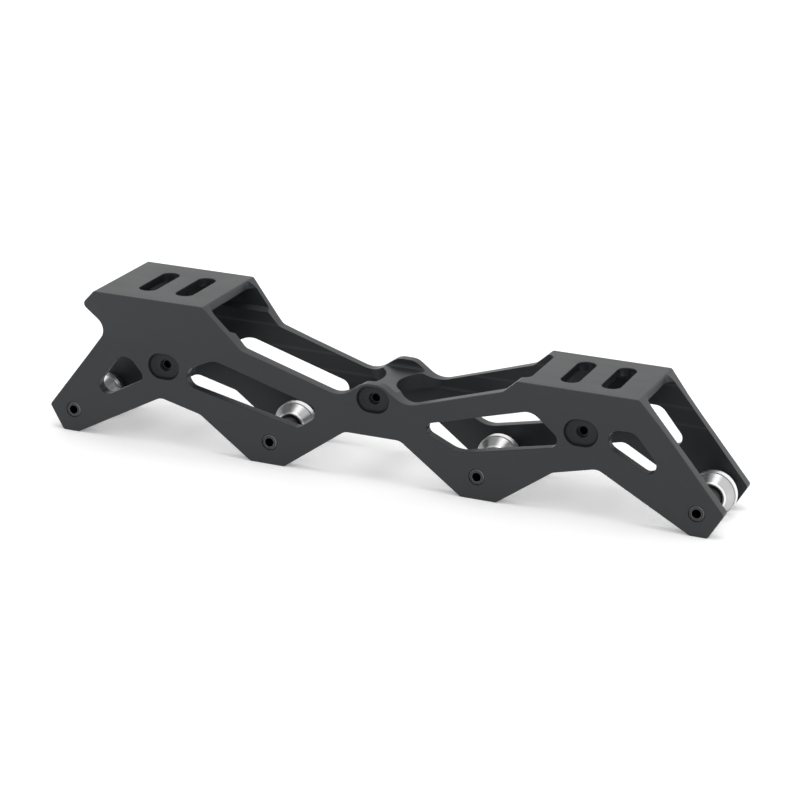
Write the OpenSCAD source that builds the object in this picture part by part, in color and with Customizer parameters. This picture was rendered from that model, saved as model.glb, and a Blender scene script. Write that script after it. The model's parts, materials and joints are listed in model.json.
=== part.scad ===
// Inline skate frame for four 80 mm wheels: a machined aluminium channel with a heel deck and a
// toe deck for the boot, four removable axles, a bearing spacer on each axle and six set screws.
// X runs from heel to toe, Y across the frame and Z up. The origin is on the ground under the middle.
// Heights are measured from the line of the axles unless their comment says otherwise.

/* [Wheelbase] */
// Distance between the first and the last axle
wheelbase = 243; // [237:0.5:249]
// Height of the axles above the feet of the walls
axle_height = 8.5; // [8:0.1:9.5]

/* [Under edge] */
// How far the toes of the walls reach past the end axles
toe_reach = 9.9; // [9.2:0.1:10.6]
// Height of the toes' tips
toe_height = 0.8; // [0.2:0.1:1.6]
// Flat of an end foot outside its axle
end_foot_out = 4.4; // [4:0.1:5]
// Flat of an end foot inside its axle
end_foot_in = 2; // [1.6:0.1:2.6]
// Height of the arch between an end axle and its neighbour
arch_rise = 10.3; // [9.6:0.1:11]
// Place of the arch, from the middle of its two axles towards the end axle
arch_shift = 4; // [3:0.1:5]
// Height of the knee where an arch turns down to the inner foot
knee_rise = 6.3; // [5.8:0.1:6.8]
// Distance of the knee from the inner axle
knee_back = 28.2; // [27:0.1:29]
// Flat of an inner foot on the side of the end axle
inner_foot_out = 7.6; // [7:0.1:8.2]
// Flat of an inner foot on the side of the middle
inner_foot_in = 6; // [5.4:0.1:6.6]
// Height of the middle arch
middle_rise = 8.8; // [8.2:0.1:9.4]
// Half length of the middle arch's flat
middle_half = 10.8; // [10:0.1:11.6]
// Corner radius of the feet and toes
foot_radius = 1.3; // [0.8:0.1:2]
// Corner radius of the arches
arch_radius = 4.5; // [3.5:0.1:5.5]

/* [Decks] */
// Distance between the middles of the two boot mounts
mount_spacing = 165; // [162:0.5:168]
// Place of the boot mounts' middle, from the middle of the wheelbase
mount_offset = -4; // [-5:0.1:-3]
// Height of the heel deck's top
heel_deck_height = 49.3; // [48:0.1:51]
// Height of the toe deck's top
toe_deck_height = 38.7; // [38:0.1:39.5]
// Thickness of both decks
deck_thickness = 3.3; // [2.8:0.1:3.8]
// Deck length behind its mount's middle
deck_back = 23.6; // [23:0.1:24.5]
// Deck length ahead of its mount's middle
deck_front = 20.9; // [20:0.1:22]
// Pitch of the two slots in a deck
slot_pitch = 15; // [14:0.5:16]
// Width of a slot
slot_width = 7; // [6.4:0.1:7.6]
// Length of a slot across the frame
slot_length = 24.6; // [22:0.2:26]
// Depth of the scoop in the toe deck's rear edge
scoop_depth = 2.8; // [2:0.1:3.4]
// Corner radius that the cutter leaves where a deck's edge meets the walls
cutter_radius = 3.5; // [2.6:0.1:4.2]
// Corner radius of the decks' ends, seen from the side
deck_radius = 1.3; // [0.8:0.1:2]

/* [Upper edge] */
// Length of the ramp behind the toe deck
toe_ramp_length = 5.5; // [5:0.1:6]
// Drop of the ramp behind the toe deck
toe_ramp_drop = 5; // [4.5:0.1:5.5]
// Length of the ramp ahead of the heel deck
heel_ramp_length = 14.1; // [13.4:0.1:14.8]
// Drop of the ramp ahead of the heel deck
heel_ramp_drop = 15.4; // [14.8:0.1:16]
// Corner radius at the foot of a ramp
ramp_radius = 4; // [3:0.1:5]
// Height of the troughs beside the middle hump
trough_height = 22.1; // [21.8:0.1:22.6]
// Distance of a trough from the middle
trough_place = 12.5; // [12:0.1:13]
// Radius of a trough
trough_radius = 9; // [7:0.1:10]
// Height of the middle hump
hump_height = 28.6; // [28:0.1:29.4]
// Half length of the hump's flat, before its corners are rounded
hump_half = 3.4; // [3:0.1:4]
// Corner radius of the hump
hump_radius = 6; // [5:0.1:7]
// How far the nose reaches behind the heel deck
nose_reach = 5.7; // [5.2:0.1:6.2]
// Drop from the heel deck to the nose's tip
nose_drop = 6; // [5.5:0.1:6.5]
// Radius of the nose
nose_radius = 2.2; // [1.6:0.1:2.6]
// Depth of the notch under the nose, ahead of the heel deck's rear edge
notch_depth = 3.8; // [3.2:0.1:4.4]
// Drop from the heel deck to the notch
notch_drop = 14.7; // [14:0.1:15.4]
// Radius of the notch
notch_radius = 5.6; // [4.6:0.1:6]

/* [Windows] */
// Width of the struts beside the end windows
strut = 9.5; // [9:0.1:10]
// Width of the strut under the rear window
rear_sill = 8.6; // [8.2:0.1:9]
// Width of the sills under the middle windows
sill = 8.7; // [8.2:0.1:9.2]
// Slope of the middle windows' lower sides, in degrees
sill_slope = 12.2; // [11.4:0.1:13]
// Width of the rail over the heel slot
heel_rail = 8.7; // [8.2:0.1:9.2]
// Slope of the heel slot's upper side, in degrees
heel_rail_slope = 16.3; // [15.5:0.1:17]
// Width of the rail over the toe slot
toe_rail = 8.4; // [8:0.1:9]
// Slope of the toe slot's upper side, in degrees
toe_rail_slope = 15.6; // [14.8:0.1:16.4]
// Slope of the rear window's front side, in degrees
rear_brace_slope = 49; // [46:0.5:52]
// Slope of the heel slot's rear side, in degrees
heel_brace_slope = 27; // [25:0.5:29]
// Start of the heel slot ahead of the rear set screw, before its corners are rounded
heel_slot_start = 1.2; // [0.6:0.1:2]
// Slope of the toe slot's front side, in degrees
toe_brace_slope = 40; // [38:0.5:42]
// Distance of the toe slot's front side from the front set screw
toe_brace = 7.8; // [7.4:0.1:8.4]
// Slope of the toe slot's rear side, in degrees
toe_tail_slope = 25; // [23:0.5:27]
// Distance of the toe slot's rear side from the middle arch
toe_tail_gap = 8.5; // [8:0.1:9]
// Drop from the toe deck to the front window's upper side
front_window_drop = 12.9; // [12.4:0.1:13.4]
// Radius of the rear window's lowest corner
rear_low_radius = 3.4; // [2.8:0.1:3.6]
// Radius of the rear window's front corner
rear_front_radius = 2.4; // [1.8:0.1:3]
// Radius of the rear window's upper corner
rear_top_radius = 5; // [4:0.1:5.6]
// Radius of the heel slot's front corner
heel_front_radius = 3.4; // [2.6:0.1:4]
// Radius of the heel slot's lower corner
heel_low_radius = 4; // [3:0.1:4.6]
// Radius of the heel slot's rear corner
heel_rear_radius = 4.2; // [3.4:0.1:4.8]
// Radius of the heel slot's upper corner
heel_top_radius = 8; // [6:0.1:9]
// Radius of the toe slot's upper corner
toe_top_radius = 6; // [5:0.1:6.6]
// Radius of the toe slot's front corner
toe_front_radius = 3; // [2.2:0.1:3.6]
// Radius of the toe slot's lower corner
toe_low_radius = 10; // [8:0.1:11]
// Radius of the toe slot's rear corner
toe_rear_radius = 2.5; // [2:0.1:3]
// Radius of the front window's lowest corner
front_low_radius = 3.1; // [2.4:0.1:3.6]
// Radius of the front window's rear corner
front_rear_radius = 4.1; // [3.4:0.1:4.6]
// Radius of the front window's upper corner
front_top_radius = 5; // [4:0.1:5.6]

/* [Walls] */
// Outer width of the channel below the flare
outer_width = 35; // [34:0.1:36]
// Thickness of a wall where the flare starts
wall = 3.3; // [3:0.1:3.6]
// Thickness of a wall at its feet
foot_wall = 4.6; // [4.2:0.1:5]
// Thickness of the flared wall above the ledge
upper_wall = 2.8; // [2.4:0.1:3.2]
// Rise of the ledge from a wall's inner face to its back
ledge_rise = 1.2; // [0.8:0.1:1.6]
// Height where the walls start to flare
flare_start = 30.3; // [29:0.1:31]
// Sideways flare of each wall for one unit of height
flare = 0.226; // [0.2:0.002:0.25]
// Radius that blends the flare into the straight wall
flare_blend = 60; // [40:5:80]

/* [Bridges] */
// Metal that a bridge keeps above its set screws
bridge_cover = 0.4; // [0.2:0.05:0.8]
// Metal that a bridge keeps below its set screws
bridge_floor = 0.8; // [0.5:0.05:1.4]
// Length of a bridge along the frame at its waist
bridge_waist = 6.2; // [5.6:0.2:7.2]
// Half length of the end bridges where they meet the walls
end_bridge_foot = 6.5; // [6:0.1:6.8]
// Radius that blends a bridge's top into the walls
bridge_fillet = 1.5; // [1:0.1:2]

/* [Set screws] */
// Height of the set screws and their pockets
screw_height = 22.7; // [22.4:0.1:23]
// How far the end set screws stand behind the middle of their bridges
screw_shift = 2.6; // [2:0.1:3]
// Length of a pocket
pocket_length = 12.2; // [11.8:0.1:12.6]
// Height of a pocket
pocket_width = 9.5; // [9:0.1:9.8]
// Depth of a pocket
pocket_depth = 1.8; // [1.4:0.1:2.2]
// Mean diameter of a set screw's thread
screw_diameter = 4.5; // [4.2:0.1:4.8]
// Length of a set screw
screw_length = 4; // [3.6:0.1:4.6]
// Depth of a set screw's face below the wall's outer face
screw_sink = 3.3; // [3:0.1:3.6]
// Chamfer on a set screw's ends
screw_chamfer = 0.5; // [0.3:0.1:0.5]
// Width across the flats of a set screw's socket
screw_socket = 2.5; // [2:0.1:2.6]
// Depth of a set screw's socket
screw_socket_depth = 2.2; // [1.8:0.1:2.6]
// Diameter of the countersink at the mouth of a set screw's socket
screw_mouth = 3.2; // [3.1:0.1:3.2]
// Slope of that countersink, in degrees
screw_mouth_slope = 30; // [20:1:40]

/* [Axles] */
// Diameter of an axle's shaft
axle_diameter = 8; // [7.6:0.1:8.2]
// Diameter of an axle's threaded end
thread_diameter = 6; // [5.6:0.1:6.4]
// Diameter of an axle's head
head_diameter = 12; // [11:0.1:13]
// Thickness of an axle's head
head_thickness = 3; // [2.6:0.1:3.4]
// Depth of the seat for an axle's head
head_seat = 1.2; // [0.8:0.1:1.6]
// Width across the flats of the socket in an axle's head
head_socket = 5; // [4:0.1:5.4]
// Depth of the socket in an axle's head
head_socket_depth = 3.5; // [3:0.1:4]
// Diameter of the hole in an axle's threaded end
end_hole = 3.4; // [3:0.1:3.6]
// Depth of the hole in an axle's threaded end
end_hole_depth = 5; // [4:0.1:6]
// Chamfer on the edges of an axle
chamfer = 0.4; // [0.2:0.1:0.6]
// Diameter of the bosses that the wheel bearings sit against
axle_boss = 10.4; // [9.6:0.1:11]
// Gap between the bosses, for a wheel's hub
hub_gap = 24.4; // [24.2:0.1:24.8]

/* [Bearing spacers] */
// Length of a spacer
spacer_length = 10.3; // [10:0.1:10.6]
// Diameter of a spacer's collar
spacer_collar = 16.6; // [16:0.1:17.4]
// Width of a spacer's collar
spacer_collar_width = 2.4; // [2:0.1:3]
// Step from a spacer's collar down to its cones
spacer_shoulder = 0.5; // [0.3:0.1:0.8]
// Diameter of a spacer's cones at its ends
spacer_end = 11.2; // [10.9:0.1:11.6]
// Chamfer round a spacer's ends
spacer_edge = 0.5; // [0.3:0.1:0.6]
// Width of the chamfer in a spacer's bore
spacer_chamfer = 0.6; // [0.4:0.1:0.8]
// Places of the spacers' middles across the frame, from the rear one to the front one
spacer_seats = [5.2, 6.6, 6.2, 4.7]; // [4:0.1:6.8]

/* [Fits] */
// Radial clearance of an axle in its bores and in its spacer
running_clearance = 0.05; // [0.02:0.01:0.1]
// Radial clearance of an axle's head in its seat
head_clearance = 0.2; // [0.1:0.05:0.4]
// Radial clearance of a set screw in its thread
thread_clearance = 0.03; // [0.02:0.01:0.06]

/* [Hidden] */
// Largest angle between two points of an arc, in degrees
arc_step = 9;
// Sides of a round solid, and of a hexagon
smooth = 96;
hexagon = 6;
// How far a cut runs past the face that it opens, and a piece into the wall that carries it
past = 1;

pitch = wheelbase / 3;
axle_x = [-1.5 * pitch, -0.5 * pitch, 0.5 * pitch, 1.5 * pitch];
bridge_x = [-pitch, 0, pitch];
screw_x = [-pitch - screw_shift, 0, pitch - screw_shift];
heel_x = mount_offset - mount_spacing / 2;
toe_x = mount_offset + mount_spacing / 2;
slot_x = [for (x = [heel_x, toe_x], side = [-1, 1]) x + side * slot_pitch / 2];

half_out = outer_width / 2;
half_in = half_out - wall;
half_hub = hub_gap / 2;
half_top = half_out + flare * (heel_deck_height - flare_start);
ledge_top = toe_deck_height + ledge_rise;
head_y = half_out - head_seat;
screw_depth = screw_sink + screw_length;
bridge_top = screw_height + screw_diameter / 2 + bridge_cover;
bridge_bottom = screw_height - screw_diameter / 2 - bridge_floor;
span = 2 * half_top + 2 * past;
end_x = axle_x[3] + toe_reach + past;
tall = axle_height + heel_deck_height + past;

// Diameter of the circle round a hexagon of a width across its flats
function round_hex(flats) = flats / cos(180 / hexagon);
// Inner half width of the flared wall at a height
function flared_in(z) = half_out + flare * (z - flare_start) - upper_wall;

// Corners of a wall's outline, [along, height]
toe_tip = [axle_x[0] - toe_reach, toe_height];
end_foot_a = [axle_x[0] - end_foot_out, -axle_height];
end_foot_b = [axle_x[0] + end_foot_in, -axle_height];
arch = [bridge_x[0] - arch_shift, arch_rise];
knee = [axle_x[1] - knee_back, knee_rise];
inner_foot_a = [axle_x[1] - inner_foot_out, -axle_height];
inner_foot_b = [axle_x[1] + inner_foot_in, -axle_height];
middle_arch = [-middle_half, middle_rise];
toe_deck_a = [toe_x - deck_back, toe_deck_height];
toe_deck_b = [toe_x + deck_front, toe_deck_height];
toe_bend = toe_deck_a - [toe_ramp_length, toe_ramp_drop];
hump = [hump_half, hump_height];
trough = [trough_place, trough_height];
heel_deck_a = [heel_x - deck_back, heel_deck_height];
heel_deck_b = [heel_x + deck_front, heel_deck_height];
heel_bend = heel_deck_b + [heel_ramp_length, -heel_ramp_drop];
nose = heel_deck_a - [nose_reach, nose_drop];
notch = heel_deck_a + [notch_depth, -notch_drop];

function front(p) = [-p[0], p[1]];
function unit(v) = v / norm(v);
function heading(angle) = [cos(angle), sin(angle)];
function turn(a) = a > 180 ? a - 360 : a < -180 ? a + 360 : a;
// A line, as two points, beside the line from a to b and to the left of it
function beside(a, b, gap) =
  let (left = unit([a[1] - b[1], b[0] - a[0]]))
  [a + gap * left, b + gap * left];
// A line in a heading, that leaves point p at a distance to the left of it
function passing(p, angle, gap) = beside(p, p + heading(angle), -gap);
// Where two lines meet
function meet(l, m) =
  let (u = l[1] - l[0], v = m[1] - m[0])
  l[0] + u * cross(m[0] - l[0], v) / cross(u, v);
// The arc at corner p, [point, radius], between the points before and after it
function corner(a, p, b) =
  let (u = unit(a[0] - p[0]), v = unit(b[0] - p[0]), half = acos(u * v) / 2, tangent = p[1] / tan(half))
  let (c = p[0] + unit(u + v) * p[1] / sin(half), s = p[0] + u * tangent - c, e = p[0] + v * tangent - c)
  let (from = atan2(s[1], s[0]), sweep = turn(atan2(e[1], e[0]) - from), n = ceil(abs(sweep) / arc_step))
  p[1] == 0 ? [p[0]] : [for (i = [0:n]) c + p[1] * heading(from + sweep * i / n)];
function rounded(path) =
  let (n = len(path))
  [for (i = [0:n - 1]) each corner(path[(i + n - 1) % n], path[i], path[(i + 1) % n])];

rear_under_edge = [
  [toe_tip, foot_radius],
  [end_foot_a, foot_radius],
  [end_foot_b, foot_radius],
  [arch, arch_radius],
  [knee, arch_radius],
  [inner_foot_a, foot_radius],
  [inner_foot_b, foot_radius],
  [middle_arch, arch_radius]];
front_under_edge = [
  for (i = [len(rear_under_edge) - 1:-1:0])
    [front(rear_under_edge[i][0]), rear_under_edge[i][1]]];
upper_edge = [
  [toe_deck_b, deck_radius],
  [toe_deck_a, deck_radius],
  [toe_bend, ramp_radius],
  [trough, trough_radius],
  [hump, hump_radius],
  [front(hump), hump_radius],
  [front(trough), trough_radius],
  [heel_bend, ramp_radius],
  [heel_deck_b, deck_radius],
  [heel_deck_a, deck_radius],
  [nose, nose_radius],
  [notch, notch_radius]];
wall_path = rounded(concat(rear_under_edge, front_under_edge, upper_edge));

// Each window's sides follow the edges of the wall at the widths of the struts, rails and sills
rear_screw = [screw_x[0], screw_height];
front_screw = [screw_x[2], screw_height];
rear_low = beside(end_foot_b, arch, rear_sill);
rear_back = beside(notch, toe_tip, strut);
rear_brace = passing(rear_screw, 180 - rear_brace_slope, -strut);
heel_top = passing(heel_bend, -heel_rail_slope, heel_rail);
heel_front = beside(inner_foot_b, middle_arch, strut);
heel_low = passing(arch, -sill_slope, -sill);
heel_start = [rear_screw + [heel_slot_start, 0], rear_screw + [heel_slot_start, 1]];
heel_corner = meet(heel_low, heel_start);
heel_back = [heel_corner, heel_corner + heading(heel_brace_slope)];
toe_top = passing(toe_bend, toe_rail_slope, toe_rail);
toe_front = passing(front_screw, -toe_brace_slope, toe_brace);
toe_low = passing(front(arch), sill_slope, -sill);
toe_tail = passing(front(middle_arch), -toe_tail_slope, -toe_tail_gap);
front_low = beside(front(arch), front(end_foot_b), strut);
front_end = beside(front(toe_tip), toe_deck_b, strut);
front_top = beside(toe_deck_a, toe_deck_b, -front_window_drop);

// The corners of a window whose sides are lines, in order, with the radius of each corner
function window(sides, radii) =
  let (n = len(sides))
  rounded([for (i = [0:n - 1]) [meet(sides[i], sides[(i + 1) % n]), radii[i]]]);
windows = [
  window([rear_back, rear_low, rear_brace],
    [rear_low_radius, rear_front_radius, rear_top_radius]),
  window([heel_top, heel_front, heel_low, heel_back],
    [heel_front_radius, heel_low_radius, heel_rear_radius, heel_top_radius]),
  window([toe_top, toe_front, toe_low, toe_tail],
    [toe_top_radius, toe_front_radius, toe_low_radius, toe_rear_radius]),
  window([front_end, front_low, front_top],
    [front_low_radius, front_rear_radius, front_top_radius])];

// Cross section of one wall, [across, height]
wall_section = rounded([
  [[half_out - foot_wall, -axle_height], 0],
  [[half_out, -axle_height], 0],
  [[half_out, flare_start], flare_blend],
  [[half_top, heel_deck_height], 0],
  [[flared_in(heel_deck_height), heel_deck_height], 0],
  [[flared_in(ledge_top), ledge_top], 0],
  [[half_in, toe_deck_height], 0],
  [[half_in, flare_start], 0]]);

// Cross section of the bridges, whose upper corners blend into the walls
bridge_side = [
  [[half_in, bridge_top], bridge_fillet],
  [[half_in, bridge_top + bridge_fillet + past], 0],
  [[half_in + past, bridge_top + bridge_fillet + past], 0],
  [[half_in + past, bridge_bottom], 0]];
bridge_section = rounded(concat(bridge_side, [
  for (i = [len(bridge_side) - 1:-1:0])
    [front(bridge_side[i][0]), bridge_side[i][1]]]));

// Turns a side view into a solid across the frame
module across() {
  translate([0, 0, axle_height])
    rotate([90, 0, 0])
      linear_extrude(height = span, center = true)
        children();
}

// Turns a cross section into a bar along the frame
module along() {
  translate([-end_x, 0, axle_height])
    rotate([90, 0, 90])
      linear_extrude(height = 2 * end_x)
        children();
}

// Stands a round solid on its side, with its axis along Y through a point of the side view
module lay(x, y, z) {
  translate([x, y, axle_height + z])
    rotate([-90, 0, 0])
      children();
}

module rod(x, z, from, to, diameter, sides = smooth) {
  lay(x, from, z)
    cylinder(d = diameter, h = to - from, $fn = sides);
}

module walls() {
  difference() {
    intersection() {
      across()
        polygon(wall_path);
      for (side = [0, 1])
        along()
          mirror([side, 0])
            polygon(wall_section);
    }
    for (path = windows)
      across()
        polygon(path);
  }
}

// Plan of a deck between two places, which keeps the cutter's radius where its ends meet the walls
module deck_plan(from, to, half, from_radius, to_radius) {
  difference() {
    translate([from - from_radius, -half - past])
      square([to - from + from_radius + to_radius, 2 * (half + past)]);
    for (cut = [[from, -1, from_radius], [to, 1, to_radius]])
      polygon(rounded([
        [[cut[0], -half], cut[2]],
        [[cut[0], half], cut[2]],
        [[cut[0] + cut[1] * 2 * cutter_radius, half], 0],
        [[cut[0] + cut[1] * 2 * cutter_radius, -half], 0]]));
  }
}

module deck(from, to, top, half, from_radius, to_radius) {
  intersection() {
    across()
      polygon(wall_path);
    translate([0, 0, axle_height + top - deck_thickness])
      linear_extrude(height = deck_thickness)
        deck_plan(from, to, half, from_radius, to_radius);
  }
}

module heel_deck() {
  deck(heel_deck_a[0] - nose_reach, heel_deck_b[0], heel_deck_height,
    flared_in(heel_deck_height - deck_thickness), 0, cutter_radius);
}

module toe_deck() {
  deck(toe_deck_a[0] + scoop_depth, toe_deck_b[0], toe_deck_height, half_in, cutter_radius, cutter_radius);
}

// A web between the walls with round cut-outs at both ends, which leave it a waist
module bridge(x, foot) {
  intersection() {
    across()
      polygon(wall_path);
    along()
      polygon(bridge_section);
    translate([x, 0, 0])
      linear_extrude(height = tall)
        difference() {
          square([2 * foot, span], center = true);
          for (side = [-1, 1])
            translate([side * (bridge_waist / 2 + half_in), 0])
              circle(r = half_in, $fn = smooth);
        }
  }
}

// Oval pocket and blind threaded hole of the set screw in the wall on the right
module screw_cut(x) {
  lobe = (pocket_length - pocket_width) / 2;
  floor_y = half_out - pocket_depth;
  for (side = [-1, 1])
    rod(x + side * lobe, screw_height, floor_y, half_out + past, pocket_width);
  translate([x - lobe, floor_y, axle_height + screw_height - pocket_width / 2])
    cube([2 * lobe, pocket_depth + past, pocket_width]);
  rod(x, screw_height, half_out - screw_depth, half_out + past, screw_diameter + 2 * thread_clearance);
}

module deck_slot(x) {
  half = (slot_length - slot_width) / 2;
  translate([x, 0, axle_height + toe_deck_height - deck_thickness - past])
    linear_extrude(height = tall) {
      square([slot_width, 2 * half], center = true);
      for (side = [-1, 1])
        translate([0, side * half])
          circle(d = slot_width, $fn = smooth);
    }
}

module frame_channel() {
  color([0.23, 0.25, 0.26])
    difference() {
      union() {
        walls();
        heel_deck();
        toe_deck();
        bridge(bridge_x[1], bridge_waist / 2 + half_in);
        for (i = [0, 2])
          bridge(bridge_x[i], end_bridge_foot);
        for (side = [0, 1])
          mirror([0, side, 0])
            for (x = axle_x)
              rod(x, 0, half_hub, half_in + past, axle_boss);
      }
      for (x = axle_x) {
        rod(x, 0, 0, half_out + past, axle_diameter + 2 * running_clearance);
        rod(x, 0, head_y, half_out + past, head_diameter + 2 * head_clearance);
        rod(x, 0, -half_out - past, 0, thread_diameter + 2 * running_clearance);
      }
      for (x = screw_x, side = [0, 1])
        mirror([0, side, 0])
          screw_cut(x);
      for (x = slot_x)
        deck_slot(x);
    }
}

module axle(i) {
  head_top = head_y + head_thickness;
  color([0.45, 0.46, 0.47])
    difference() {
      lay(axle_x[i], 0, 0)
        rotate_extrude($fn = smooth)
          polygon([
            [0, -half_out],
            [thread_diameter / 2 - chamfer, -half_out],
            [thread_diameter / 2, chamfer - half_out],
            [thread_diameter / 2, -half_hub],
            [axle_diameter / 2, -half_hub],
            [axle_diameter / 2, head_y],
            [head_diameter / 2, head_y],
            [head_diameter / 2, head_top - chamfer],
            [head_diameter / 2 - chamfer, head_top],
            [0, head_top]]);
      rod(axle_x[i], 0, -half_out - past, end_hole_depth - half_out, end_hole);
      rod(axle_x[i], 0, head_top - head_socket_depth, head_top + past, round_hex(head_socket), hexagon);
    }
}

module spacer(i) {
  bore = axle_diameter / 2 + running_clearance;
  half = spacer_length / 2;
  rim = spacer_collar_width / 2;
  profile = [
    [bore, half - spacer_chamfer],
    [bore + spacer_chamfer, half],
    [spacer_end / 2 - spacer_edge, half],
    [spacer_end / 2, half - spacer_edge],
    [spacer_collar / 2 - spacer_shoulder, rim],
    [spacer_collar / 2, rim]];
  color([0.78, 0.79, 0.8])
    lay(axle_x[i], spacer_seats[i], 0)
      rotate_extrude($fn = smooth)
        polygon(concat(profile, [
          for (k = [len(profile) - 1:-1:0])
            [profile[k][0], -profile[k][1]]]));
}

// Set screw of the wall on the right, with its socket outwards
module screw(i) {
  tip = half_out - screw_depth;
  face = half_out - screw_sink;
  color([0.06, 0.06, 0.07])
    difference() {
      lay(screw_x[i], 0, screw_height)
        rotate_extrude($fn = smooth)
          polygon([
            [0, tip],
            [screw_diameter / 2 - screw_chamfer, tip],
            [screw_diameter / 2, tip + screw_chamfer],
            [screw_diameter / 2, face - screw_chamfer],
            [screw_diameter / 2 - screw_chamfer, face],
            [screw_mouth / 2, face],
            [0, face - screw_mouth / 2 * tan(screw_mouth_slope)]]);
      rod(screw_x[i], screw_height, face - screw_socket_depth, face + past,
        round_hex(screw_socket), hexagon);
    }
}

module axle_1() axle(0);
module axle_2() axle(1);
module axle_3() axle(2);
module axle_4() axle(3);
module spacer_1() spacer(0);
module spacer_2() spacer(1);
module spacer_3() spacer(2);
module spacer_4() spacer(3);
module screw_left_1() mirror([0, 1, 0]) screw(0);
module screw_left_2() mirror([0, 1, 0]) screw(1);
module screw_left_3() mirror([0, 1, 0]) screw(2);
module screw_right_1() screw(0);
module screw_right_2() screw(1);
module screw_right_3() screw(2);

frame_channel();
axle_1();
axle_2();
axle_3();
axle_4();
spacer_1();
spacer_2();
spacer_3();
spacer_4();
screw_left_1();
screw_left_2();
screw_left_3();
screw_right_1();
screw_right_2();
screw_right_3();
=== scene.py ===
import json
import math

import bmesh
import bpy
from mathutils import Matrix, Vector


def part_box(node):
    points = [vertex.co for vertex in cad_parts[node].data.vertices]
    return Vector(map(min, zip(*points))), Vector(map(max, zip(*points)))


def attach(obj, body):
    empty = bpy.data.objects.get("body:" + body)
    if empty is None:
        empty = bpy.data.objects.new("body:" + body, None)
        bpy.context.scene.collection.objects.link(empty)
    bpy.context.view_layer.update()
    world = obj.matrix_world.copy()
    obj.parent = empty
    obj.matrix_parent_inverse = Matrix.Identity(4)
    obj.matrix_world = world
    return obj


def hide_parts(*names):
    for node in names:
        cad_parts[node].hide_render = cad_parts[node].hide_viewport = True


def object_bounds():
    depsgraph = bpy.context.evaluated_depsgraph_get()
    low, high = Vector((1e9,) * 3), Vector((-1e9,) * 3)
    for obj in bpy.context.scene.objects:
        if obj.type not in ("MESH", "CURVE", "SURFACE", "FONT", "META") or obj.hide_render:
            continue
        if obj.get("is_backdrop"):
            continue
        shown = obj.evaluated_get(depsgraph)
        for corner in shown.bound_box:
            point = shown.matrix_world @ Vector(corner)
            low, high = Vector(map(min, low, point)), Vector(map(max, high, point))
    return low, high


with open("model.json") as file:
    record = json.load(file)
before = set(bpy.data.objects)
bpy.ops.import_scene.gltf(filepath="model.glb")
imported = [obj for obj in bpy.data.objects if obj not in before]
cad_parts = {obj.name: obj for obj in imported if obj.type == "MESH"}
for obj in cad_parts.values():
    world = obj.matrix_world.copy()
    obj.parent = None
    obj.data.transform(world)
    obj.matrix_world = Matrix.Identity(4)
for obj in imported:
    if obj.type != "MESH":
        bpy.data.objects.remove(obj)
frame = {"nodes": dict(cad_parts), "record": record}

cad_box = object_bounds()
MM = 0.001

# The camera, solved from the axle ends, the deck corners and the walls' outlines. Angles are in degrees.
IMAGE_SIDE = 800
FOCAL_PIXELS = 2674.46
SENSOR_MM = 36.0
AZIMUTH, ELEVATION, ROLL = 21.7474, 19.2939, -1.5145
EYE = (343.432 * MM, -852.017 * MM, 347.405 * MM)
NEAREST, FARTHEST = 0.01, 50.0


def make_camera():
    turn, tilt, roll = (math.radians(angle) for angle in (AZIMUTH, ELEVATION, ROLL))
    back = (math.sin(turn) * math.cos(tilt), -math.cos(turn) * math.cos(tilt), math.sin(tilt))
    right = (math.cos(turn), math.sin(turn), 0.0)
    up = (-math.sin(turn) * math.sin(tilt), math.cos(turn) * math.sin(tilt), math.cos(tilt))
    x = [math.cos(roll) * p - math.sin(roll) * q for p, q in zip(right, up)]
    y = [math.sin(roll) * p + math.cos(roll) * q for p, q in zip(right, up)]
    data = bpy.data.cameras.new("camera")
    data.sensor_width = SENSOR_MM
    data.lens = FOCAL_PIXELS / IMAGE_SIDE * SENSOR_MM
    data.clip_start, data.clip_end = NEAREST, FARTHEST
    camera = bpy.data.objects.new("camera", data)
    rows = [(x[i], y[i], back[i], EYE[i]) for i in range(3)] + [(0, 0, 0, 1)]
    camera.matrix_world = Matrix(rows)
    bpy.context.scene.collection.objects.link(camera)
    bpy.context.scene.camera = camera


# Inputs of a range node, and the numbers of a colour mix node's factor, colours and result
RANGE_INPUTS = ("From Min", "From Max", "To Min", "To Max")
MIX_INPUTS, MIX_RESULT = (0, 6, 7), 2
# A piece's own box runs from 0 to 1. These take its axis along Y to zero, and leave Y out.
AXIS_OFFSET, LEAVE_OUT_Y = (-0.5, 0, -0.5), (1, 0, 1)


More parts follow.
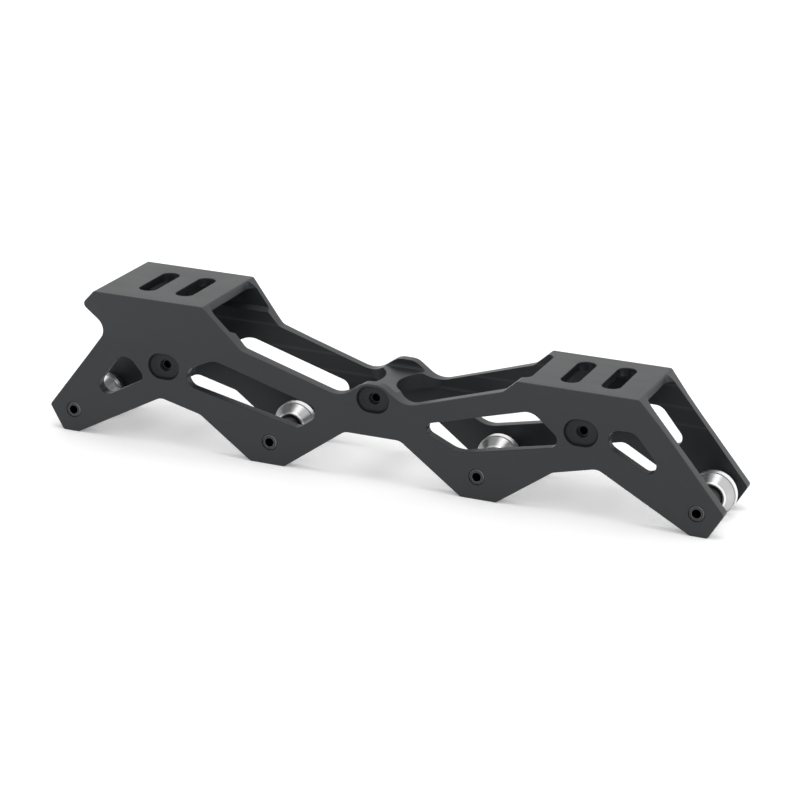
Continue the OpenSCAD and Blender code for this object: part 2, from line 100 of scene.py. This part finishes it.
class Shader:
    """A material's nodes, wired by name."""

    def __init__(self, name):
        self.material = bpy.data.materials.new(name)
        self.material.use_nodes = True
        self.tree = self.material.node_tree
        self.bsdf = self.tree.nodes["Principled BSDF"]
        coords = self.add("TexCoord")
        self.place = coords.outputs["Object"]
        self.share = coords.outputs["Generated"]

    def add(self, kind, inputs=None, **settings):
        node = self.tree.nodes.new("ShaderNode" + kind)
        for key, value in settings.items():
            setattr(node, key, value)
        for key, value in (inputs or {}).items():
            self.put(node, key, value)
        return node

    def put(self, node, key, value):
        socket = node.inputs[key]
        if isinstance(value, bpy.types.NodeSocket):
            self.tree.links.new(value, socket)
        else:
            socket.default_value = value

    def noise(self, where, scale, detail=2.0, roughness=0.5):
        sockets = {"Vector": where, "Scale": scale, "Detail": detail, "Roughness": roughness}
        return self.add("TexNoise", sockets).outputs["Fac"]

    def stretched_noise(self, where, scales, detail, roughness=0.5):
        """A noise with a scale of its own along each axis."""
        stretched = self.add("Mapping", {"Vector": where, "Scale": scales}).outputs["Vector"]
        return self.noise(stretched, 1.0, detail, roughness)

    def maths(self, operation, a, b=0.0):
        return self.add("Math", {0: a, 1: b}, operation=operation).outputs[0]

    def blend(self, a, b, share):
        """A weighted sum of two values, with this share of the first."""
        return self.maths("ADD", self.maths("MULTIPLY", a, share), self.maths("MULTIPLY", b, 1 - share))

    def spread(self, value, limits, to):
        """A value between two limits, mapped to between two others."""
        ranges = dict(zip(RANGE_INPUTS, (*limits, *to)))
        return self.add("MapRange", {"Value": value, **ranges}).outputs[0]

    def mix(self, factor, a, b):
        node = self.add("Mix", data_type="RGBA")
        for index, value in zip(MIX_INPUTS, (factor, a, b)):
            self.put(node, index, value)
        return node.outputs[MIX_RESULT]

    def bump(self, height, strength, depth, normal=None):
        node = self.add("Bump", {"Height": height, "Strength": strength, "Distance": depth})
        if normal is not None:
            self.put(node, "Normal", normal)
        return node.outputs["Normal"]

    def bands(self, levels, reach):
        """One at these heights, falling to zero this far above and below them."""
        height = self.add("SeparateXYZ", {0: self.place}).outputs["Z"]
        total = 0.0
        for level in levels:
            off = self.maths("ABSOLUTE", self.maths("SUBTRACT", height, level))
            total = self.maths("MAXIMUM", total, self.spread(off, (0.0, reach), (1.0, 0.0)))
        return total

    def radius(self):
        """Distance from the piece's own axis along Y, as a share of its width."""
        sockets = {"Vector": self.share, "Location": AXIS_OFFSET, "Scale": LEAVE_OUT_Y}
        flat = self.add("Mapping", sockets).outputs["Vector"]
        return self.add("VectorMath", {0: flat}, operation="LENGTH").outputs["Value"]

    def round_tangent(self):
        return self.add("Tangent", direction_type="RADIAL", axis="Y").outputs["Tangent"]

    def finish(self, **sockets):
        for key, value in sockets.items():
            self.put(self.bsdf, key.replace("_", " "), value)
        return self.material


# The values between which a noise takes a finish from one end to the other, and those for a rubbed oxide
CONTRAST = (0.3, 0.7)
RUBBED = (0.45, 0.75)
FROM_NONE_TO_ALL = (0.0, 1.0)
WHITE = (1, 1, 1, 1)

# Scales of the finishes' noises, per metre, or per piece where a turned piece changes along its axis
DYE_CLOUDS = 45.0
BLASTED_GRAIN = 5200.0
CUTTER_LINES = (14.0, 900.0, 900.0)
TURNING_MARKS = (0.0, 60.0, 0.0)
SMEARS = 160.0
RUB_MARKS = 700.0
OXIDE_GRAIN = 4000.0
PAPER_GRAIN = 400.0

# Depths of the bumps, and the share of a turn that sets highlights across the rings
BLAST_DEPTH = 0.02 * MM
FINE_DEPTH = 0.01 * MM
ACROSS = 0.25

# Heights of lighter lines painted down the inside of a wall as highlights, and how far one reaches
HIGHLIGHT_LEVELS = (28.6 * MM, 34.9 * MM, 42.7 * MM)
HIGHLIGHT_REACH = 0.7 * MM


def grey(value, tint=0.0):
    """A grey with this much less red and as much more blue."""
    return (value * (1 - tint), value, value * (1 + tint), 1)


def anodised(name, dark, light, rough, metallic=0.0, gloss=WHITE, ridge_highlight=None):
    """Blasted and dyed aluminium: a fine grain, a cloudy dye and faint cutter lines along the frame.

    Where a highlight colour is given, it is painted in lighter lines at set heights, a painted highlight.
    """
    look = Shader(name)
    cloud = look.noise(look.place, DYE_CLOUDS, detail=4.0, roughness=0.6)
    grain = look.noise(look.place, BLASTED_GRAIN)
    lines = look.stretched_noise(look.place, CUTTER_LINES, detail=3.0, roughness=0.6)
    dye = look.spread(look.blend(cloud, grain, share=0.6), CONTRAST, FROM_NONE_TO_ALL)
    colour = look.mix(dye, dark, light)
    # Lighter lines at set heights on the insides: a painted highlight
    if ridge_highlight:
        colour = look.mix(look.bands(HIGHLIGHT_LEVELS, HIGHLIGHT_REACH), colour, ridge_highlight)
    roughness = look.spread(look.blend(cloud, lines, share=0.5), CONTRAST, rough)
    blasted = look.bump(grain, strength=0.12, depth=BLAST_DEPTH)
    normal = look.bump(lines, strength=0.05, depth=BLAST_DEPTH, normal=blasted)
    return look.finish(Base_Color=colour, Roughness=roughness, Metallic=metallic, Normal=normal,
                       Specular_Tint=gloss)


def turned(name, dark, light, rough, rings, relief, streaks=0.0):
    """Metal turned on a lathe, with fine rings about its axis that draw highlights out across them."""
    look = Shader(name)
    waves = look.maths("SINE", look.maths("MULTIPLY", look.radius(), rings))
    along = look.stretched_noise(look.share, TURNING_MARKS, detail=3.0)
    tone = look.blend(along, look.noise(look.place, SMEARS), share=0.7)
    colour = look.mix(look.spread(tone, CONTRAST, FROM_NONE_TO_ALL), dark, light)
    roughness = look.spread(tone, CONTRAST, rough)
    normal = look.bump(waves, strength=relief, depth=FINE_DEPTH)
    return look.finish(Base_Color=colour, Roughness=roughness, Metallic=1.0, Normal=normal,
                       Tangent=look.round_tangent(), Anisotropic=streaks, Anisotropic_Rotation=ACROSS)


def oxide(name, dark, light, rough, metallic, gloss=0.5):
    """Black oxide on steel, rubbed a little at random."""
    look = Shader(name)
    rub = look.noise(look.place, RUB_MARKS, detail=4.0, roughness=0.65)
    colour = look.mix(look.spread(rub, RUBBED, FROM_NONE_TO_ALL), dark, light)
    roughness = look.spread(rub, CONTRAST, rough)
    normal = look.bump(look.noise(look.place, OXIDE_GRAIN), strength=0.1, depth=FINE_DEPTH)
    return look.finish(Base_Color=colour, Roughness=roughness, Metallic=metallic, Normal=normal,
                       Specular_IOR_Level=gloss)


# Channel finishes: faces, long edges with painted highlight, threads, and pocket floors, insides, pocket
# rims in painted shade
CHANNEL = anodised("channel_anodised", grey(0.018, 0.06), grey(0.023, 0.06), rough=(0.36, 0.44),
                   gloss=(0.63, 0.66, 0.68, 1))
# Lighter, glossier long edges: a painted highlight along the wall outlines
CHANNEL_EDGE_HIGHLIGHT = anodised("channel_edge_painted_highlight", grey(0.03, 0.04), grey(0.05, 0.04), rough=(0.3, 0.4),
                        metallic=0.1, gloss=(0.93, 0.97, 1, 1))
THREAD = anodised("channel_thread", grey(0.02), grey(0.035), rough=(0.45, 0.6))
# Darker pocket floors: painted shade in the recesses
POCKET_SHADE = anodised("channel_pocket", grey(0.005, 0.1), grey(0.008, 0.1), rough=(0.5, 0.6),
                  gloss=(0.65, 0.68, 0.7, 1))
# Darker inner faces and slot walls: painted shade
INSIDE_SHADE = anodised("channel_inside_painted_shade", grey(0.0085, 0.1), grey(0.0115, 0.1), rough=(0.38, 0.46),
                  gloss=(0.76, 0.8, 0.82, 1), ridge_highlight=grey(0.026, 0.1))
# Near-black chamfers round the pockets: a painted shadow line
RIM_SHADE = anodised("channel_pocket_rim_painted_shade", grey(0.003, 0.1), grey(0.005, 0.1), rough=(0.5, 0.6),
               gloss=(0.3, 0.32, 0.33, 1))

# Finishes of the axles: their faces, and their slanted edges painted lighter as a highlight
AXLE_RINGS = 190.0
STEEL = turned("axle_steel", grey(0.04), grey(0.06), rough=(0.32, 0.42), rings=AXLE_RINGS, relief=0.15,
               streaks=0.4)
# Lighter slanted edges round the axle ends: a painted highlight
STEEL_EDGE_HIGHLIGHT = turned("axle_edge_painted_highlight", grey(0.16), grey(0.22), rough=(0.34, 0.44), rings=AXLE_RINGS, relief=0.1)

# Finishes of the spacers: their cones, their collars and edges painted near-white as a highlight, and their
# ends
SPACER_RINGS = 210.0
BRIGHT = turned("spacer_turned", grey(0.41), grey(0.67), rough=(0.35, 0.46), rings=SPACER_RINGS,
                relief=0.03, streaks=0.7)
# Near-white collars and edges: a painted highlight
BRIGHT_EDGE_HIGHLIGHT = turned("spacer_edge", grey(0.84), grey(0.9), rough=(0.3, 0.4), rings=SPACER_RINGS,
                     relief=0.02)
FACED = turned("spacer_faced", grey(0.5), grey(0.6), rough=(0.42, 0.5), rings=SPACER_RINGS, relief=0.05,
               streaks=0.3)

# Set screw finishes: faces, slanted edges with a painted highlight, sockets and axle end holes in painted
# shade
BLACK = oxide("screw_black_oxide", grey(0.03), grey(0.05), rough=(0.4, 0.5), metallic=0.4)
# Lighter slanted edges: a painted highlight
BLACK_EDGE_HIGHLIGHT = oxide("screw_edge_painted_highlight", grey(0.15), grey(0.19), rough=(0.45, 0.55), metallic=0.6)
# Near-black, nearly unreflective sockets and end holes: painted shade
DEEP_SHADE = oxide("socket_painted_shade", grey(0.002), grey(0.004), rough=(0.65, 0.8), metallic=0.0, gloss=0.05)

# The least turn of a sharp edge
EDGE_ANGLE = math.radians(28)
# Steps of a chamfer and of the radius round a floor, and the form of both
CHAMFER_STEPS, FLOOR_STEPS = 2, 6
ROUND = 0.5
# Points this near are one, and corners this near to a plane lie in it
SAME_PLACE = 0.002 * MM
SAME_PLANE = 0.001 * MM
# Faces smaller than this have no plane of their own
SPECK = 1e-10
# Least cosine between a flat and a face of it that isn't folded over
SAME_WAY = 0.9
# How strongly the larger faces at a corner set its shading
FACE_WEIGHT = 90


def sharp_edges(build):
    return {e for e in build.edges if e.calc_face_angle(0) > EDGE_ANGLE}


def loops(edges):
    """The chains that these edges form."""
    left = set(edges)
    for start in sorted(edges, key=lambda edge: edge.index):
        if start not in left:
            continue
        left.discard(start)
        chain, front = [start], [start]
        while front:
            for vertex in front.pop().verts:
                for edge in vertex.link_edges:
                    if edge in left:
                        left.discard(edge)
                        chain.append(edge)
                        front.append(edge)
        yield chain


def closed_loops(build, convex):
    """Closed loops of outer or inner edges that meet no other sharp edge.

    Where they do meet one, a bevel would fold over itself.
    """
    build.edges.index_update()
    sharp = sharp_edges(build)
    plain = {v for v in build.verts if sum(e in sharp for e in v.link_edges) == 2}
    found = {e for e in sharp if e.is_convex == convex and plain.issuperset(e.verts)}
    open_ends = True
    while open_ends:
        open_ends = {e for e in found if any(len(found.intersection(v.link_edges)) < 2 for v in e.verts)}
        found -= open_ends
    return list(loops(found))


def length(chain):
    return sum(edge.calc_length() for edge in chain)


def at_depth(corners, depth):
    """Whether these corners all lie this far from the frame's long plane, on either side."""
    return all(abs(abs(v.co.y) - depth) < SAME_PLACE for v in corners)


def bevel(build, chains, width, steps, material_index):
    edges = [edge for chain in chains for edge in chain]
    for edge in edges:
        edge.smooth = True
    bmesh.ops.bevel(build, geom=edges, offset=width, offset_type="OFFSET", segments=steps, profile=ROUND,
                    affect="EDGES", clamp_overlap=False, material=material_index)


def flat_regions(build):
    """Faces that touch and lie in one plane, from the largest face on."""
    taken = set()
    for seed in sorted(build.faces, key=lambda face: (-face.calc_area(), face.index)):
        if seed in taken or seed.calc_area() < SPECK:
            continue
        point, normal = seed.verts[0].co.copy(), seed.normal.copy()
        region, front = [seed], [seed]
        taken.add(seed)
        while front:
            for edge in front.pop().edges:
                for face in edge.link_faces:
                    heights = (abs((v.co - point).dot(normal)) for v in face.verts)
                    if face in taken or max(heights) > SAME_PLANE:
                        continue
                    taken.add(face)
                    region.append(face)
                    front.append(face)
        yield region, normal


def refill(build):
    """Draws each flat face anew in which a bevel has folded a long triangle over."""
    build.normal_update()
    build.faces.index_update()
    for region, normal in list(flat_regions(build)):
        if all(face.normal.dot(normal) > SAME_WAY for face in region):
            continue
        inside = set(region)
        rim = []
        for face in region:
            rim += [e for e in face.edges if sum(f in inside for f in e.link_faces) == 1]
        index = region[0].material_index
        bmesh.ops.delete(build, geom=region, context="FACES_KEEP_BOUNDARY")
        filled = bmesh.ops.triangle_fill(build, use_beauty=True, use_dissolve=False, edges=rim,
                                         normal=normal)
        for part in filled["geom"]:
            if isinstance(part, bmesh.types.BMFace):
                part.material_index = index


def copied(node):
    """A CAD node's faces as one closed skin, with its sharp edges marked."""
    build = bmesh.new()
    build.from_mesh(frame["nodes"][node].data)
    bmesh.ops.remove_doubles(build, verts=build.verts, dist=SAME_PLACE)
    for face in build.faces:
        face.material_index = 0
    sharp = sharp_edges(build)
    for edge in build.edges:
        edge.smooth = edge not in sharp
    return build


def break_rims(build, width, rims, materials):
    """Chamfers the closed outer edges. Each takes the material of the last rim whose length it passes."""
    groups = [[] for _ in rims]
    for chain in closed_loops(build, True):
        passed = [k for k, (least, _) in enumerate(rims) if length(chain) > least]
        if passed:
            groups[passed[-1]].append(chain)
    for chains, (_, material) in zip(groups, rims):
        bevel(build, chains, width, CHAMFER_STEPS, materials.index(material))


def round_floors(build, depth, radius, material_index):
    """Gives the flats this far from the frame's long plane a material, and their inner edges a radius."""
    for face in build.faces:
        if at_depth(face.verts, depth):
            face.material_index = material_index
    rings = closed_loops(build, False)
    around = [ring for ring in rings if at_depth([v for edge in ring for v in edge.verts], depth)]
    bevel(build, around, radius, FLOOR_STEPS, material_index)


def paint(build, rules, materials):
    """Smooths each face, and gives it the material of the last rule that it meets."""
    build.normal_update()
    for face in build.faces:
        face.smooth = True
        middle = face.calc_center_median()
        for meets, material in rules:
            if meets(face, middle):
                face.material_index = materials.index(material)


def machined(node, body, materials, width, rims, rules, floors=None):
    """A copy of a CAD node with its edges broken, which stands for the node.

    Faces that no rule, rim or floor claims take the first material. Floors gives the depth of the flats
    that get a radius round them, that radius, and their material.
    """
    build = copied(node)
    break_rims(build, width, rims, materials)
    if floors:
        depth, radius, material = floors
        round_floors(build, depth, radius, materials.index(material))
    refill(build)
    paint(build, rules, materials)
    mesh = bpy.data.meshes.new(node + "_finish")
    build.to_mesh(mesh)
    build.free()
    for material in materials:
        mesh.materials.append(material)
    piece = bpy.data.objects.new(node + "_finish", mesh)
    bpy.context.scene.collection.objects.link(piece)
    normals = piece.modifiers.new("normals", "WEIGHTED_NORMAL")
    normals.mode = "FACE_AREA"
    normals.weight = FACE_WEIGHT
    normals.keep_sharp = True
    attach(piece, body)
    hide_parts(node)


# Least shares of Y in the normals of all faces, of cones, of 45 degree edges and of ends
ANY, CONE, SLANT, FLAT = -1, 0.3, 0.66, 0.97
# Most share of Z in the normal of an upright face
UPRIGHT = 0.2
# What is added to half of a slot's width and length to take in its walls
SLACK = 0.1 * MM


def facing(least):
    """Faces with this share of Y in their normal, or more."""
    return lambda face, middle: abs(face.normal.y) > least


def looking_in(face, middle):
    """Whether a face looks towards the frame's long plane."""
    return face.normal.y * math.copysign(1, middle.y) < -FLAT


def around_axes(nodes, radius):
    """Faces within this radius of the axes along Y of these round nodes."""
    boxes = [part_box(node) for node in nodes]
    axes = [((low[0] + high[0]) / 2, (low[2] + high[2]) / 2) for low, high in boxes]
    return lambda face, middle: any(math.hypot(middle.x - x, middle.z - z) < radius for x, z in axes)


def in_slots(mount_name):
    """Upright faces in the slots of this mount, or straight below them."""
    mount = next(m for m in frame["record"]["mounts"] if m["name"] == mount_name)
    sizes = mount["dims"]
    half_pitch = sizes["spacing_x_mm"] / 2 * MM
    half_width = sizes["hole_r_mm"] * MM + SLACK
    half_length = sizes["slot_length_mm"] / 2 * MM + SLACK

    def meets(face, middle):
        off = abs(abs(middle.x - mount["pos_m"][0]) - half_pitch)
        return abs(face.normal.z) < UPRIGHT and off < half_width and abs(middle.y) < half_length

    return meets


AXLES = [f"axle_{i}" for i in range(1, 5)]
SPACERS = [f"spacer_{i}" for i in range(1, 5)]
SCREWS = [f"screw_{side}_{i}" for side in ("left", "right") for i in range(1, 4)]
# Widths of the broken edges
CHANNEL_BREAK, TURNED_BREAK, SCREW_BREAK = 0.25 * MM, 0.12 * MM, 0.06 * MM
# Least lengths of the channel's rims: axle bosses, pockets, then windows and slots, and whole walls
BOSS_RIM, POCKET_RIM, WINDOW_RIM, WALL_RIM = 30 * MM, 34 * MM, 37 * MM, 200 * MM
# Radii just over those of the threaded holes, of an axle's end hole and of the mouth of a screw's socket
SCREW_HOLE, AXLE_HOLE, END_HOLE, SOCKET = 2.35 * MM, 3.1 * MM, 1.75 * MM, 1.62 * MM
# Depth of the pocket floors from the long plane, and the radius that the cutter leaves round them
POCKET_FLOOR, POCKET_RADIUS = 15.7 * MM, 1.4 * MM


def dress_channel():
    # Inner faces, slot walls, pocket floors and pocket rims take painted shade; long edges a painted
    # highlight
    machined("frame_channel", "frame",
             [CHANNEL, CHANNEL_EDGE_HIGHLIGHT, THREAD, POCKET_SHADE, RIM_SHADE, INSIDE_SHADE], CHANNEL_BREAK,
             rims=[(BOSS_RIM, CHANNEL), (POCKET_RIM, RIM_SHADE), (WINDOW_RIM, CHANNEL), (WALL_RIM, CHANNEL_EDGE_HIGHLIGHT)],
             floors=(POCKET_FLOOR, POCKET_RADIUS, POCKET_SHADE),
             rules=[(looking_in, INSIDE_SHADE), (in_slots("heel_slots"), INSIDE_SHADE), (in_slots("toe_slots"), INSIDE_SHADE),
                    (around_axes(SCREWS, SCREW_HOLE), THREAD), (around_axes(AXLES, AXLE_HOLE), THREAD)])


def dress_axle(node):
    # The slanted edges get a painted highlight, and the end hole near-black painted shade
    machined(node, node, [STEEL, STEEL_EDGE_HIGHLIGHT, DEEP_SHADE], TURNED_BREAK, rims=[(0.0, STEEL_EDGE_HIGHLIGHT)],
             rules=[(facing(SLANT), STEEL_EDGE_HIGHLIGHT), (facing(FLAT), STEEL),
                    (around_axes([node], END_HOLE), DEEP_SHADE)])


def dress_spacer(node):
    # All faces but cones and ends get the near-white painted highlight
    machined(node, node, [BRIGHT, BRIGHT_EDGE_HIGHLIGHT, FACED], TURNED_BREAK,
             rims=[(0.0, BRIGHT_EDGE_HIGHLIGHT)],
             rules=[(facing(ANY), BRIGHT_EDGE_HIGHLIGHT), (facing(CONE), BRIGHT), (facing(SLANT), BRIGHT_EDGE_HIGHLIGHT),
                    (facing(FLAT), FACED)])


def dress_screw(node):
    # The slanted edges get a painted highlight, and the socket near-black painted shade
    machined(node, "frame", [BLACK, BLACK_EDGE_HIGHLIGHT, DEEP_SHADE], SCREW_BREAK, rims=[(0.0, BLACK_EDGE_HIGHLIGHT)],
             rules=[(facing(SLANT), BLACK_EDGE_HIGHLIGHT), (facing(FLAT), BLACK),
                    (around_axes([node], SOCKET), DEEP_SHADE)])


# The floor's reach from the middle, its paper's greys, and the light that the paper adds
FLOOR_REACH = 4.0
PAPER = (grey(0.93), grey(0.95))
PAPER_GLOW = 0.2
# The sky dims along an axis, between two heights on it, from one strength to another
SKY_AXIS = (-0.35, 0.0, 1.0)
SKY_HEIGHTS = (0.66, 0.86)
SKY_STRENGTHS = (1.13, 0.5)
# The direction of the soft light overhead, its strength and the angle that it fills
SOFTBOX_FROM = (0.04, -0.06, 0.99)
SOFTBOX_STRENGTH = 0.8
SOFTBOX_ANGLE = math.radians(32)


def make_floor():
    mesh = bpy.data.meshes.new("floor")
    signs = ((-1, -1), (1, -1), (1, 1), (-1, 1))
    mesh.from_pydata([(x * FLOOR_REACH, y * FLOOR_REACH, 0) for x, y in signs], [], [(0, 1, 2, 3)])
    floor = bpy.data.objects.new("floor", mesh)
    look = Shader("floor_paper")
    colour = look.mix(look.noise(look.place, PAPER_GRAIN, detail=3.0), *PAPER)
    mesh.materials.append(look.finish(Base_Color=colour, Roughness=0.9, Specular_IOR_Level=0.1,
                                      Emission_Color=WHITE, Emission_Strength=PAPER_GLOW))
    bpy.context.scene.collection.objects.link(floor)
    floor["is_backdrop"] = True


def make_sky():
    world = bpy.data.worlds.new("studio")
    world.use_nodes = True
    nodes, links = world.node_tree.nodes, world.node_tree.links
    coords = nodes.new("ShaderNodeTexCoord")
    height = nodes.new("ShaderNodeVectorMath")
    height.operation = "DOT_PRODUCT"
    height.inputs[1].default_value = SKY_AXIS
    fade = nodes.new("ShaderNodeMapRange")
    fade.interpolation_type = "SMOOTHSTEP"
    for key, value in zip(RANGE_INPUTS, (*SKY_HEIGHTS, *SKY_STRENGTHS)):
        fade.inputs[key].default_value = value
    links.new(coords.outputs["Generated"], height.inputs[0])
    links.new(height.outputs["Value"], fade.inputs["Value"])
    links.new(fade.outputs[0], nodes["Background"].inputs["Strength"])
    nodes["Background"].inputs["Color"].default_value = WHITE
    bpy.context.scene.world = world


def make_softbox():
    data = bpy.data.lights.new("softbox", "SUN")
    data.energy = SOFTBOX_STRENGTH
    data.angle = SOFTBOX_ANGLE
    light = bpy.data.objects.new("softbox", data)
    light.rotation_mode = "QUATERNION"
    light.rotation_quaternion = Vector(SOFTBOX_FROM).to_track_quat("Z", "Y")
    bpy.context.scene.collection.objects.link(light)


make_camera()
dress_channel()
for node in AXLES:
    dress_axle(node)
for node in SPACERS:
    dress_spacer(node)
for node in SCREWS:
    dress_screw(node)
make_floor()
make_sky()
make_softbox()
bpy.context.scene.view_settings.view_transform = "Standard"

visual_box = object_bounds()
boxes = {"cad": cad_box, "visual": visual_box}
{k: [list(corner) for corner in v] for k, v in boxes.items()}
